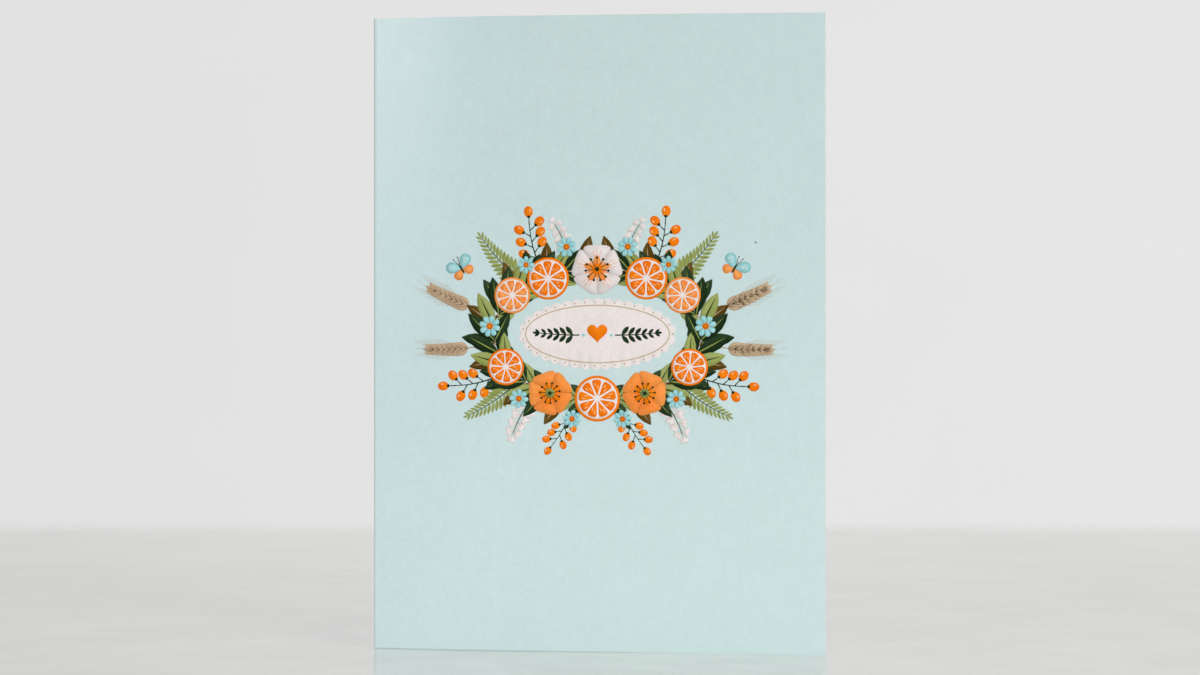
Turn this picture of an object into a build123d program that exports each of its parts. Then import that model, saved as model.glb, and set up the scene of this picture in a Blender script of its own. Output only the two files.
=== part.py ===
"""A folded greeting card, stood up on its lower edges and opened a little.

One sheet of coated board is scored down its middle and folded once, so it makes a front panel and a
back panel joined by a rounded spine. The rule that scored the board raised a bead, which the fold
closes on, down the inside of the spine. The folded board pushes the panels out near the spine, so
each panel bows in plan: it turns quickly beside the spine and slowly further out. The surface that
the card stands on holds the foot, so the foot bows less than the head.

Frame: +Z up along the spine, which is on the -X side. The card is symmetric about the XZ plane, with
its front panel on the -Y side and its back panel on the +Y side. The origin is the middle of the
footprint, at the height of the foot.
"""

import os
from math import cos, radians, sin

from build123d import *

# Sizes of the sheet in millimetres, and the angle between the panels in degrees
card_height = 177.8
panel_width = 127.0
board_thickness = 0.36
opening_angle = 30.0

# The bow of a panel, in millimetres and degrees: the stretch beside the spine where it turns quickly,
# and how far it turns within that stretch and beyond it, at the foot and at the head
spring_length = 38.0
foot_near_turn = 5.5
foot_far_turn = 0.8
head_near_turn = 7.0
head_far_turn = 3.6

# The scored fold: its inside radius, and the bead between the panels' inner faces
fold_inner_radius = 0.14
bead_width = 0.9
bead_height = 0.13

FRONT, BACK = -1, 1


def spine_angle(near_turn, far_turn):
    """Angle between the card's middle plane and a panel where it leaves the spine.

    It is the angle at which the panel's free edge comes to half the opening angle.
    """
    far_share = 1 - spring_length / panel_width
    mean_turn = near_turn * (1 + far_share) / 2 + far_turn * far_share / 2
    return opening_angle / 2 + mean_turn


def along(angle, side):
    """Unit vector that leads away from the spine at an angle to the middle plane."""
    return Vector(cos(radians(angle)), side * sin(radians(angle)))


def outward(angle, side):
    """Unit vector that leads out of the outer face of a panel that lies at that angle."""
    return Vector(-sin(radians(angle)), side * cos(radians(angle)))


def draw_panel(side, near_turn, far_turn):
    """Draws both faces and the free edge of a panel, and gives its faces' ends at the spine."""
    angle = spine_angle(near_turn, far_turn)
    near_radius = spring_length / radians(near_turn)
    far_radius = (panel_width - spring_length) / radians(far_turn)
    outer_start = outward(angle, side) * (fold_inner_radius + board_thickness)
    outer_near = JernArc(outer_start, along(angle, side), near_radius, -side * near_turn)
    outer_far = JernArc(outer_near @ 1, outer_near % 1, far_radius, -side * far_turn)

    # The inner face has the outer face's centres, and starts where the bead ends
    bead_share = bead_width / 2 / spring_length
    bead_angle = angle - near_turn * bead_share
    inner_start = outer_near @ bead_share - outward(bead_angle, side) * board_thickness
    inner_near = JernArc(
        inner_start,
        along(bead_angle, side),
        near_radius - board_thickness,
        -side * near_turn * (1 - bead_share),
    )
    inner_far = JernArc(
        inner_near @ 1, inner_near % 1, far_radius - board_thickness, -side * far_turn
    )
    Line(outer_far @ 1, inner_far @ 1)
    return outer_start, inner_start


def draw_section(near_turn, far_turn):
    """Draws the outline of the folded sheet as it is seen from above, with the fold at the origin."""
    outer_front, inner_front = draw_panel(FRONT, near_turn, far_turn)
    outer_back, inner_back = draw_panel(BACK, near_turn, far_turn)
    ThreePointArc(outer_front, (-fold_inner_radius - board_thickness, 0), outer_back)
    ThreePointArc(inner_front, (inner_front.X + bead_height, 0), inner_back)


with BuildPart() as card:
    with BuildSketch():
        with BuildLine():
            draw_section(foot_near_turn, foot_far_turn)
        make_face()
    with BuildSketch(Plane.XY.offset(card_height)):
        with BuildLine():
            draw_section(head_near_turn, head_far_turn)
        make_face()
    loft()

footprint = card.part.bounding_box()
card.part = card.part.moved(Location((-footprint.center().X, -footprint.center().Y, 0)))
card.part.label = "card"

os.makedirs("parts", exist_ok=True)
export_step(card.part, "parts/card.step")
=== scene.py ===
"""The looks of a folded greeting card that stands open on a pale surface, laid out as an add-on.

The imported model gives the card's place and its height. The sheet is a flat blank that is folded and
bowed by a rule. Its print is drawn flat, as thin films of ink about the middle of the front panel,
and is then laid on that panel by the same rule. Lengths are in metres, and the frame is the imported
model's: +Z up along the spine, which is on the -X side, with the front panel on the -Y side.
"""

from math import cos, pi, radians, sin

import bpy
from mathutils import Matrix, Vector


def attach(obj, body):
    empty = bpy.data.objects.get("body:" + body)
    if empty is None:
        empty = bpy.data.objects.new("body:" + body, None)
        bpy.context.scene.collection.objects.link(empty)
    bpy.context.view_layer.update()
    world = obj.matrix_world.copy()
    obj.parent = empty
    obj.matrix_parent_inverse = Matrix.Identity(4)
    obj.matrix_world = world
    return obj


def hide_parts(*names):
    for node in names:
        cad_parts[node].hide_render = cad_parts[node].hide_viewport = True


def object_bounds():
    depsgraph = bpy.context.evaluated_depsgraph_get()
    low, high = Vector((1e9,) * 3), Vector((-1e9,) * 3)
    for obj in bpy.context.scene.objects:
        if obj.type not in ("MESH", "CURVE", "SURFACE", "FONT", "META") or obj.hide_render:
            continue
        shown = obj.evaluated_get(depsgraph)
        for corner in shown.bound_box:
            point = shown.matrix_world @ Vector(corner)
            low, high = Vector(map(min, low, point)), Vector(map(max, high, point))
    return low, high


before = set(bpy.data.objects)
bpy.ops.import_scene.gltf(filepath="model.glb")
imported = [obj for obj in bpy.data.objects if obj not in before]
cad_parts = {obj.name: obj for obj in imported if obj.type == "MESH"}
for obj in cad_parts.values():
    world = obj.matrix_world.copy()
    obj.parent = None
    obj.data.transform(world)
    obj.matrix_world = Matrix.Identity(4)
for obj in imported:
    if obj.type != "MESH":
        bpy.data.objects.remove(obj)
cad_low, cad_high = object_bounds()

bl_info = {
    "name": "Greeting Card",
    "version": (1, 0, 0),
    "blender": (4, 5, 0),
    "location": "3D View > Sidebar > Greeting Card",
    "description": "A folded greeting card, its printed garland and the surface it stands on",
    "category": "Object",
}

MM = 0.001
CARD_NODE, BODY, SLOT = "card", "root", "printed_board"
FRONT, BACK = -1.0, 1.0
VARIETY_SEED = 7

# The lowest levels of the films of motifs that cover others. Those under them begin at 1.
LEAF_LEVEL, SLICE_LEVEL, FLOWER_LEVEL = 5, 11, 15


def linear(red, green, blue):
    """A colour that is given as it reads on a screen, from 0 to 255, in scene linear values."""
    shares = (value / 255 for value in (red, green, blue))
    return [s / 12.92 if s <= 0.04045 else ((s + 0.055) / 1.055) ** 2.4 for s in shares]


def float_property(name, description, default, least=0, **display):
    """A number that isn't below the least. Display says how the sidebar shows it."""
    return bpy.props.FloatProperty(
        name=name, description=description, default=default, min=least, **display
    )


def length_property(name, description, millimetres):
    """A length that the sidebar shows in the scene's unit."""
    return float_property(name, description, millimetres * MM, unit="LENGTH", precision=5)


def angle_property(name, description, degrees):
    """An angle that the sidebar shows in degrees, and that may be below 0."""
    return bpy.props.FloatProperty(
        name=name, description=description, default=radians(degrees), subtype="ANGLE"
    )


def power_property(name, description, watts):
    """The power of a lamp."""
    return float_property(name, description, watts, unit="POWER")


def colour_property(name, description, *levels):
    """A colour whose default is given as it reads on a screen."""
    shown = {"default": linear(*levels), "min": 0, "max": 1, "subtype": "COLOR"}
    return bpy.props.FloatVectorProperty(name=name, description=description, **shown)


class CardSizes(bpy.types.PropertyGroup):
    """Sizes of the folded sheet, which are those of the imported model."""

    height: length_property("Height", "Height of the card", (cad_high.z - cad_low.z) / MM)
    panel_width: length_property("Panel width", "Width of a panel", 127)
    thickness: length_property("Board thickness", "Thickness of the board", 0.36)
    opening: angle_property("Opening", "Angle between the panels", 30)
    spring_length: length_property("Spring length", "Stretch that bows by the spine", 38)
    foot_near_turn: angle_property("Foot near turn", "Bow by the spine at the foot", 5.5)
    foot_far_turn: angle_property("Foot far turn", "Bow of the rest at the foot", 0.8)
    head_near_turn: angle_property("Head near turn", "Bow by the spine at the head", 7)
    head_far_turn: angle_property("Head far turn", "Bow of the rest at the head", 3.6)
    fold_radius: length_property("Fold radius", "Inside radius of the fold", 0.14)
    bead_width: length_property("Bead width", "Width of the score's bead", 0.9)
    bead_height: length_property("Bead height", "Height of the score's bead", 0.13)
    edge_rounding: length_property("Edge rounding", "Rounding of the cut edges", 0.05)


class PrintSizes(bpy.types.PropertyGroup):
    """Sizes of the printed garland and its motifs."""

    film: length_property("Film", "Thickness of one film of ink", 0.012)
    garland_width: length_property("Garland width", "Width of the garland's line", 58)
    garland_height: length_property("Garland height", "Height of the garland's line", 36.5)
    leaf_length: length_property("Leaf length", "Length of a garland leaf", 9.8)
    leaf_width: length_property("Leaf width", "Width of a garland leaf", 3.7)
    slice_radius: length_property("Slice radius", "Radius of an orange slice", 5.6)
    blossom_radius: length_property("Blossom radius", "Radius of a blossom", 6.5)
    daisy_radius: length_property("Daisy radius", "Radius of a daisy", 2.7)
    frond_length: length_property("Frond length", "Length of a fern frond", 15.5)
    sprig_length: length_property("Sprig length", "Length of a sprig's stem", 11)
    ear_length: length_property("Ear length", "Length of an ear of wheat with its stem", 18)
    wing_span: length_property("Wing span", "Span of a butterfly's wings", 8.8)
    plaque_width: length_property("Plaque width", "Width of the blank plaque", 43)
    plaque_height: length_property("Plaque height", "Height of the blank plaque", 18.6)


class CardColours(bpy.types.PropertyGroup):
    """Colours of the board and of the inks."""

    outside: colour_property("Outside", "Ground colour of the outside", 199, 220, 221)
    inside: colour_property("Inside", "Bare coated board inside", 240, 240, 237)
    core: colour_property("Core", "Cut edge of the board", 236, 234, 228)
    orange: colour_property("Orange", "Orange ink", 248, 128, 8)
    peach: colour_property("Peach", "Peach ink", 251, 151, 70)
    apricot: colour_property("Apricot", "Light tint of the peach ink", 252, 199, 138)
    cream: colour_property("Cream", "Cream ink", 234, 225, 222)
    aqua: colour_property("Aqua", "Aqua ink", 158, 214, 217)
    olive: colour_property("Olive", "Olive green ink", 146, 158, 84)
    forest: colour_property("Forest", "Dark green ink", 26, 47, 22)
    brown: colour_property("Brown", "Brown ink", 84, 60, 12)
    tan: colour_property("Tan", "Tan ink", 196, 170, 138)
    speck: colour_property("Speck", "A grain of dirt in the print", 118, 136, 133)


class StageSettings(bpy.types.PropertyGroup):
    """The surface, the backdrop, the lamps and the camera."""

    lens: float_property("Lens", "Focal length in millimetres", 87.6, least=1)
    camera_turn: angle_property("Camera turn", "Camera's turn round the spine", 7.4)
    camera_tilt: angle_property("Camera tilt", "How far the camera looks down", 0.371)
    camera_height: length_property("Camera height", "Height above the surface", 93.2)
    camera_distance: length_property("Camera distance", "Depth of the spine", 824.5)
    spine_offset: length_property("Spine offset", "Spine's place left of the view", 63.3)
    surface_depth: length_property("Surface depth", "Even surface behind the spine", 425)
    surface_fade: length_property("Surface fade", "Stretch where its far edge fades", 100)
    surface_reach: length_property("Surface reach", "Surface to the other sides", 2500)
    surface_colour: colour_property("Surface", "Colour of the surface", 201, 201, 197)
    surface_glow: float_property("Surface glow", "Paleness that shadows don't reach", 0.08)
    bounce_colour: colour_property("Bounce", "Colour that the surface lights with", 232, 232, 231)
    backdrop_left: colour_property("Backdrop left", "Colour at its left", 225, 225, 225)
    backdrop_right: colour_property("Backdrop right", "Colour at its right", 231, 231, 231)
    world_level: float_property("World level", "Light from all round", 0.566)
    softbox_height: length_property("Softbox height", "Height of a softbox", 740)
    softbox_distance: length_property("Softbox distance", "Distance of a softbox", 1300)
    softbox_rise: angle_property("Softbox rise", "How high a softbox stands", 24)
    left_width: length_property("Left softbox width", "Width of the left softbox", 320)
    left_turn: angle_property("Left softbox turn", "Its turn from the front", 43)
    left_power: power_property("Left softbox power", "Power of the left softbox", 2.25)
    sheen_power: power_property("Left sheen power", "Power that the card mirrors", 3.7)
    right_width: length_property("Right softbox width", "Width of the right softbox", 500)
    right_turn: angle_property("Right softbox turn", "Its turn from the front", 33)
    right_power: power_property("Right softbox power", "Power of the right softbox", 5.1)
    back_width: length_property("Back softbox width", "Width of the back softbox", 900)
    back_turn: angle_property("Back softbox turn", "Its turn from the back", 30)
    back_power: power_property("Back softbox power", "Power of the back softbox", 6)
    fill_width: length_property("Low fill width", "Width of the low lamp in front", 550)
    fill_height: length_property("Low fill height", "Height of the low lamp in front", 20)
    fill_distance: length_property("Low fill distance", "Distance of the low lamp", 200)
    fill_spread: angle_property("Low fill spread", "How wide the low lamp shines", 105)
    fill_power: power_property("Low fill power", "Power of the low lamp", 0.069)


class Nodes:
    """A node tree in the making, whose formulas are written as plain arithmetic."""

    def __init__(self, tree):
        self.tree = tree

    def add(self, kind, feeds=None, **named):
        """Adds a node and gives its first output, if any.

        A capitalised name feeds the input of that name, its spaces written as underscores, and any
        other name is a setting of the node. Feeds has what goes to its inputs by number.
        """
        node = self.tree.nodes.new(kind)
        feeds = dict(feeds or {})
        for name, value in named.items():
            if name[0].isupper():
                feeds[name.replace("_", " ")] = value
            else:
                setattr(node, name, value)
        for key, value in feeds.items():
            self.feed(node.inputs[key], value)
        shown = [output for output in node.outputs if output.enabled]
        return Output(self, shown[0]) if shown else None

    def feed(self, socket, value):
        """Links a socket to an output or to several, or sets its value."""
        values = value if isinstance(value, list) else [value]
        if isinstance(values[0], Output):
            for output in values:
                self.tree.links.new(output.socket, socket)
        else:
            socket.default_value = value

    def geo(self, kind, **named):
        """A Geometry node."""
        return self.add("GeometryNode" + kind, **named)

    def shader(self, kind, feeds=None, **named):
        """A Shader node. Those for sums serve in geometry trees too."""
        return self.add("ShaderNode" + kind, feeds, **named)

    def math(self, operation, *values):
        """A Math node."""
        return self.shader("Math", dict(enumerate(values)), operation=operation)

    def vector(self, x=0.0, y=0.0, z=0.0):
        """A vector from three numbers."""
        return self.shader("CombineXYZ", X=x, Y=y, Z=z)

    def split(self, vector):
        """The three numbers of a vector."""
        x = self.shader("SeparateXYZ", Vector=vector)
        return x, x.also("Y"), x.also("Z")

    def position(self):
        """Where a point of the geometry lies."""
        return self.split(self.geo("InputPosition"))

    def place(self):
        """Where a point of the object with this material lies, in the object's own frame."""
        return self.shader("TexCoord").also("Object")

    def attribute(self, name):
        """What the mesh with this material has stored under a name."""
        return self.shader("Attribute", attribute_name=name).also("Fac")

    def mix(self, share, first, second, blend="MIX"):
        """A colour at a share of the way from one to another. The share is kept within 0 and 1."""
        kinds = {"data_type": "RGBA", "blend_type": blend}
        return self.shader("Mix", Factor=share, A=first, B=second, **kinds)

    def group(self, tree, **feeds):
        """A node that runs another tree."""
        return self.geo("Group", node_tree=tree, **feeds)

    def store(self, geometry, name, value, data_type="FLOAT", domain="POINT"):
        """The geometry with a value stored on it under a name."""
        kinds = {"data_type": data_type, "domain": domain}
        return self.geo("StoreNamedAttribute", Geometry=geometry, Name=name, Value=value, **kinds)

    def stored(self, name, data_type="FLOAT"):
        """A value that was stored on a geometry under a name."""
        return self.geo("InputNamedAttribute", Name=name, data_type=data_type)


class Output:
    """An output of a node. Arithmetic on it adds Math nodes to its tree."""

    def __init__(self, nodes, socket):
        self.nodes, self.socket = nodes, socket

    def also(self, name):
        """Another output of the same node."""
        return Output(self.nodes, self.socket.node.outputs[name])

    def blend(self, other, share):
        """The value at a share of the way to another."""
        return self + (other - self) * share


def add_method(name, operation, turned_round=False):
    """Gives Output a method that adds a Math node, with its two values turned round if asked."""

    def method(self, *others):
        values = (*others, self) if turned_round else (self, *others)
        return self.nodes.math(operation, *values)

    setattr(Output, name, method)


SUMS = {"add": "ADD", "sub": "SUBTRACT", "mul": "MULTIPLY", "truediv": "DIVIDE"}
for name, operation in SUMS.items():
    add_method(f"__{name}__", operation)
    add_method(f"__r{name}__", operation, turned_round=True)
add_method("__pow__", "POWER")
for name, operation in {"sine": "SINE", "cosine": "COSINE", "unsigned": "ABSOLUTE"}.items():
    add_method(name, operation)
add_method("sign", "SIGN")


class Turn(float):
    """An angle, as the default of a tree's input."""


class Share(float):
    """A plain number, as the default of a tree's input."""


SOCKETS = {
    float: ("Float", "DISTANCE"),
    Turn: ("Float", "ANGLE"),
    Share: ("Float", "NONE"),
    int: ("Int", "NONE"),
}


def open_tree(name, inputs, **outputs):
    """Makes a geometry node tree, and gives its nodes and its inputs by name.

    The type of an input's default says what it holds: a float is a length and an int is a count.
    Text is the kind of an input that has no default.
    """
    tree = bpy.data.node_groups.new(name, "GeometryNodeTree")
    for label, default in inputs.items():
        kind, subtype = SOCKETS.get(type(default), (default, "NONE"))
        item = tree.interface.new_socket(label, in_out="INPUT", socket_type="NodeSocket" + kind)
        if subtype != "NONE":
            item.subtype = subtype
        if kind != default:
            item.default_value = default
    for label, kind in outputs.items():
        tree.interface.new_socket(label, in_out="OUTPUT", socket_type="NodeSocket" + kind)
    nodes = Nodes(tree)
    source = tree.nodes.new("NodeGroupInput")
    return nodes, {label: Output(nodes, source.outputs[label]) for label in inputs}


def close_tree(nodes, **results):
    """Feeds the tree's outputs and gives the tree."""
    nodes.add("NodeGroupOutput", **results)
    return nodes.tree


def shared_group(name, make, sizes):
    """A node group that several trees use, made from its sizes when it is first needed."""
    return bpy.data.node_groups.get(name) or make(sizes)


def card_inputs(card):
    """The sizes of the folded sheet, as inputs of a tree."""
    return {
        "Height": card.height,
        "Panel width": card.panel_width,
        "Board thickness": card.thickness,
        "Opening": Turn(card.opening),
        "Spring length": card.spring_length,
        "Foot near turn": Turn(card.foot_near_turn),
        "Foot far turn": Turn(card.foot_far_turn),
        "Head near turn": Turn(card.head_near_turn),
        "Head far turn": Turn(card.head_far_turn),
        "Fold radius": card.fold_radius,
        "Fold place": cad_low.x + card.fold_radius + card.thickness,
    }


def spine_angle(given, end):
    """Angle between the card's middle plane and a panel beside the spine, at the foot or head."""
    near_turn, far_turn = given[end + " near turn"], given[end + " far turn"]
    far_share = 1.0 - given["Spring length"] / given["Panel width"]
    return given["Opening"] / 2 + near_turn * (far_share + 1.0) / 2 + far_turn * far_share / 2


def bowed_line(nodes, given, end):
    """Where a point of the back panel lies in plan, at the foot or at the head."""
    spring, along, depth = given["Spring length"], given["Along"], given["Depth"]
    near_radius = spring / given[end + " near turn"]
    far_radius = (given["Panel width"] - spring) / given[end + " far turn"]
    start = spine_angle(given, end)
    middle = start - nodes.math("MINIMUM", along, spring) / near_radius
    last = middle - nodes.math("MAXIMUM", along - spring, 0.0) / far_radius
    fold = given["Fold radius"] + given["Board thickness"]
    sines = [angle.sine() for angle in (start, middle, last)]
    cosines = [angle.cosine() for angle in (start, middle, last)]
    x = near_radius * (sines[0] - sines[1]) + far_radius * (sines[1] - sines[2])
    y = near_radius * (cosines[1] - cosines[0]) + far_radius * (cosines[2] - cosines[1])
    return x - sines[0] * fold + sines[2] * depth, y + cosines[0] * fold - cosines[2] * depth


def panel_surface(card):
    """Node group: where a point of a flat panel lies once the sheet is folded and bowed.

    Along is its distance from the spine, Depth its depth under the outer face, and Side is -1 on
    the front panel and 1 on the back one.
    """
    places = {"Side": Share(0), "Along": 0.0, "Up": 0.0, "Depth": 0.0}
    nodes, given = open_tree("Panel surface", {**places, **card_inputs(card)}, Position="Vector")
    foot, head = bowed_line(nodes, given, "Foot"), bowed_line(nodes, given, "Head")
    share = given["Up"] / given["Height"]
    x = foot[0].blend(head[0], share) + given["Fold place"]
    y = foot[1].blend(head[1], share) * given["Side"]
    return close_tree(nodes, Position=nodes.vector(x, y, given["Up"]))


def sheet_tree(card):
    """Tree: the closed sheet, from a flat box that runs from panel to panel round the fold."""
    inputs = {
        "Fold columns": 16,
        "Panel columns": 64,
        "Rows": 32,
        **card_inputs(card),
        "Bead width": card.bead_width,
        "Bead height": card.bead_height,
        **{face: "Material" for face in ("Outside", "Inside", "Core")},
    }
    nodes, given = open_tree("Folded sheet", inputs, Geometry="Geometry")
    surface = shared_group("Panel surface", panel_surface, card)
    labels = ("Board thickness", "Bead width", "Bead height")
    board, bead_width, bulge = (given[label] for label in labels)
    columns = given["Fold columns"] + given["Panel columns"] * 2
    counts = {"Vertices_X": columns + 1, "Vertices_Y": 2, "Vertices_Z": given["Rows"] + 1}
    sheet = nodes.geo("MeshCube", Size=(2, 1, 1), **counts)
    across, outward, upward = nodes.position()
    inner = 0.5 - outward
    up = (upward + 0.5) * given["Height"]

    # The panels
    fold_share = given["Fold columns"] / columns
    share = (across.unsigned() - fold_share) / (1.0 - fold_share)
    along = (inner * bead_width / 2).blend(given["Panel width"], share)
    panel = nodes.group(surface, Side=across.sign(), Along=along, Up=up, Depth=inner * board)

    # The outside of the fold is an arc between the panels
    height_share = up / given["Height"]
    half_arc = pi / 2 - spine_angle(given, "Foot").blend(spine_angle(given, "Head"), height_share)
    fold_turn = across / fold_share
    arc_radius = given["Fold radius"] + board
    arc_x = given["Fold place"] - arc_radius * (half_arc * fold_turn).cosine()
    arc_y = arc_radius * (half_arc * fold_turn).sine()

    # The bead is an arc between the ends of the inner faces
    end = nodes.group(surface, Side=BACK, Along=bead_width / 2, Up=up, Depth=board)
    end_x, end_y, _ = nodes.split(end)
    bead_radius = (end_y * end_y + bulge * bulge) / (bulge * 2)
    bead_turn = nodes.math("ARCSINE", end_y / bead_radius) * fold_turn
    bead_x = end_x + bulge - bead_radius + bead_radius * bead_turn.cosine()
    bead_y = bead_radius * bead_turn.sine()

    fold = nodes.vector(arc_x.blend(bead_x, inner), arc_y.blend(bead_y, inner), up)
    just_over = 1.001
    in_fold = nodes.math("LESS_THAN", across.unsigned(), fold_share * just_over)
    places = {"Switch": in_fold, "False": panel, "True": fold}
    place = nodes.geo("Switch", input_type="VECTOR", **places)
    half_way_out = 0.25
    for name, sign in (("outer face", 1.0), ("inner face", -1.0)):
        is_face = nodes.math("GREATER_THAN", outward * sign, half_way_out)
        sheet = nodes.store(sheet, name, is_face, "BOOLEAN", "FACE")
    sheet = nodes.geo("SetPosition", Geometry=sheet, Position=place)
    sheet = nodes.geo("RealizeInstances", Geometry=sheet)
    for name, side in ((None, "Core"), ("outer face", "Outside"), ("inner face", "Inside")):
        chosen = nodes.stored(name, "BOOLEAN") if name else True
        sheet = nodes.geo("SetMaterial", Geometry=sheet, Selection=chosen, Material=given[side])
    return close_tree(nodes, Geometry=sheet)


def film_group(film):
    """Node group: a thin closed film of ink in the shape of a flat mesh.

    A film stands as many times its thickness off the board as its level says, so one of a higher
    level covers one of a lower level. Detail is how finely it is divided, so that it follows the
    bow of the panel. Tone lightens its ink, or deepens it below 0.
    """
    inputs = {
        "Shape": "Geometry",
        "Level": 1,
        "Detail": 1,
        "Tone": Share(0),
        "Film": film,
    }
    nodes, given = open_tree("Ink film", inputs, Mesh="Geometry")
    shape, level, detail, tone, thick = given.values()
    flat = nodes.store(nodes.geo("SubdivideMesh", Mesh=shape, Level=detail), "tone", tone)
    flat = nodes.geo("SetPosition", Geometry=flat, Offset=nodes.vector(z=thick * -0.5))
    flat = nodes.geo("SetShadeSmooth", Geometry=flat)
    rise = {"Offset": (0, 0, 1), "Offset_Scale": thick * (level + 0.5), "Individual": False}
    top = nodes.geo("ExtrudeMesh", Mesh=flat, **rise)
    both = nodes.geo("JoinGeometry", Geometry=[top, nodes.geo("FlipFaces", Mesh=flat)])
    rim = top.also("Side")
    both = nodes.geo("SetShadeSmooth", Geometry=both, Selection=rim, Shade_Smooth=False)
    return close_tree(nodes, Mesh=nodes.geo("MergeByDistance", Geometry=both, Distance=thick / 10))


def laying_group(card):
    """Node group: flat art about its middle becomes print on the front panel."""
    inputs = {
        "Art": "Geometry",
        "Height": card.height,
        "Panel width": card.panel_width,
    }
    nodes, given = open_tree("Lay on the front panel", inputs, Geometry="Geometry")
    art, height, width = given.values()
    x, y, z = nodes.position()
    surface = shared_group("Panel surface", panel_surface, card)
    places = {"Side": FRONT, "Along": width / 2 + x, "Up": height / 2 + y, "Depth": z * -1.0}
    laid = nodes.geo("SetPosition", Geometry=art, Position=nodes.group(surface, **places))
    return close_tree(nodes, Geometry=laid)


class Print(Nodes):
    """The tree of a printed motif: flat shapes that are laid on the front panel, ink by ink."""

    def __init__(self, name, sizes, inks):
        inputs = {"Places": "Geometry", **sizes, **{ink: "Material" for ink in inks}}
        nodes, self.given = open_tree(name, inputs, Geometry="Geometry")
        super().__init__(nodes.tree)
        self.sizes = [self.given[name] for name in sizes]
        self.layers = []

    def index(self):
        return self.geo("InputIndex")

    def x(self):
        """How far to the right a point lies."""
        return self.position()[0]

    def join(self, *parts):
        return self.geo("JoinGeometry", Geometry=list(parts))

    def moved(self, geometry, x, y):
        """The geometry with its points in other places of the flat art."""
        return self.geo("SetPosition", Geometry=geometry, Position=self.vector(x, y))

    def shifted(self, geometry, x=0.0, y=0.0, angle=0.0, scale=1.0):
        """The geometry scaled, turned and moved as a whole."""
        return self.geo(
            "Transform",
            Geometry=geometry,
            Translation=self.vector(x, y),
            Rotation=self.vector(z=angle),
            Scale=self.vector(scale, scale, 1.0),
        )

    def around(self, points):
        """A closed curve with so many points, and the angle of each round its middle."""
        ring = self.geo("CurvePrimitiveCircle", Resolution=points, Radius=1.0)
        return ring, self.index() * (2 * pi) / points

    def ring(self, width, height, points):
        """An ellipse."""
        ring, angle = self.around(points)
        return self.moved(ring, angle.cosine() * width / 2, angle.sine() * height / 2)

    def disc(self, width, height, points=20):
        """A flat filled ellipse."""
        fan = self.geo("MeshCircle", Vertices=points, Radius=1.0, fill_type="TRIANGLE_FAN")
        x, y, _ = self.position()
        return self.moved(fan, x * width / 2, y * height / 2)

    def heart(self, size, points=26):
        """A flat heart whose point is at the origin and whose lobes are towards +X.

        Its outline is the well-known sum of four cosines against a cubed sine, 29 units long.
        """
        ring, angle = self.around(points)
        unit = size / 29
        lobes = angle.cosine() * 13 - (angle * 2).cosine() * 5 - (angle * 3).cosine() * 2
        lobes = lobes - (angle * 4).cosine() + 17.0
        return self.filled(self.moved(ring, lobes * unit, angle.sine() ** 3 * unit * -16.0))

    def filled(self, outline):
        """The flat mesh inside an outline."""
        return self.geo("FillCurve", Curve=outline)

    def leaf(self, length, width, base=1.0, tip=1.0, points=14, half=0):
        """A flat leaf or petal from the origin along +X.

        Base and tip are 0 for a round end and 1 for a point. Half keeps only what lies on the +Y
        side of its middle line, or on the -Y side where it is -1.
        """
        ring, angle = self.around(points)
        rise = (1 + base) / (2 + base + tip)
        fullest = 2 * rise ** ((1 + base) / 2) * (1 - rise) ** ((1 + tip) / 2)
        across = angle.sine() / fullest
        if base:
            across = across * (angle / 2).sine() ** base
        if tip:
            across = across * (angle / 2).cosine().unsigned() ** tip
        if half:
            across = self.math("MAXIMUM" if half > 0 else "MINIMUM", across, 0.0)
        along = (1.0 - angle.cosine()) * length / 2
        return self.filled(self.moved(ring, along, across * width / 2))

    def petal(self, length, width):
        """A flat petal from the origin along +X, narrow at its base and notched at its tip."""
        notch_depth, notch_reach, slimness, fullness = 0.09, 0.9, 2.4, 0.93
        ring, angle = self.around(26)
        share = (1.0 - angle.cosine()) / 2
        near_tip = 1.0 - (angle - pi).unsigned() / notch_reach
        dent = self.math("MAXIMUM", near_tip, 0.0) * notch_depth
        half = angle.sine() * (angle / 2).sine().unsigned() ** slimness * width * fullness
        return self.filled(self.moved(ring, share * (1.0 - dent) * length, half))

    def ribbon(self, line, width, taper=0.0):
        """A flat ribbon along a line. Taper is the share of its width that it loses by its end."""
        profile = self.geo("CurvePrimitiveLine", Start=(-0.5, 0, 0), End=(0.5, 0, 0))
        line = self.geo("SetCurveNormal", Curve=line, mode="Z_UP")
        along = self.geo("SplineParameter")
        scale = width * (1.0 - along * taper)
        return self.geo("CurveToMesh", Curve=line, Profile_Curve=profile, Scale=scale)

    def straight(self, points):
        """A line of so many points."""
        line = self.geo("CurvePrimitiveLine", End=(1, 0, 0))
        return self.geo("ResampleCurve", Curve=line, Count=points)

    def bowed(self, length, bend, points):
        """A line from the origin along +X. Bend is how far its end turns off, as a share."""
        share = self.index() / (points - 1)
        return self.moved(self.straight(points), share * length, share * share * length * bend)

    def film(self, shape, level, tone=0.0, detail=0):
        """A thin film of ink in the shape of a flat mesh."""
        group = shared_group("Ink film", film_group, bpy.context.scene.print_sizes.film)
        return self.group(group, Shape=shape, Level=level, Detail=detail, Tone=tone)

    def dot(self, size, level, points, tone=0.0, detail=0):
        """A round film."""
        return self.film(self.disc(size, size, points), level, tone, detail)

    def stroke(self, length, bend, width, level, tone=0.0, taper=0.45, points=12):
        """A film in the shape of a tapered stem or vein."""
        return self.film(self.ribbon(self.bowed(length, bend, points), width, taper), level, tone)

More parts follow.
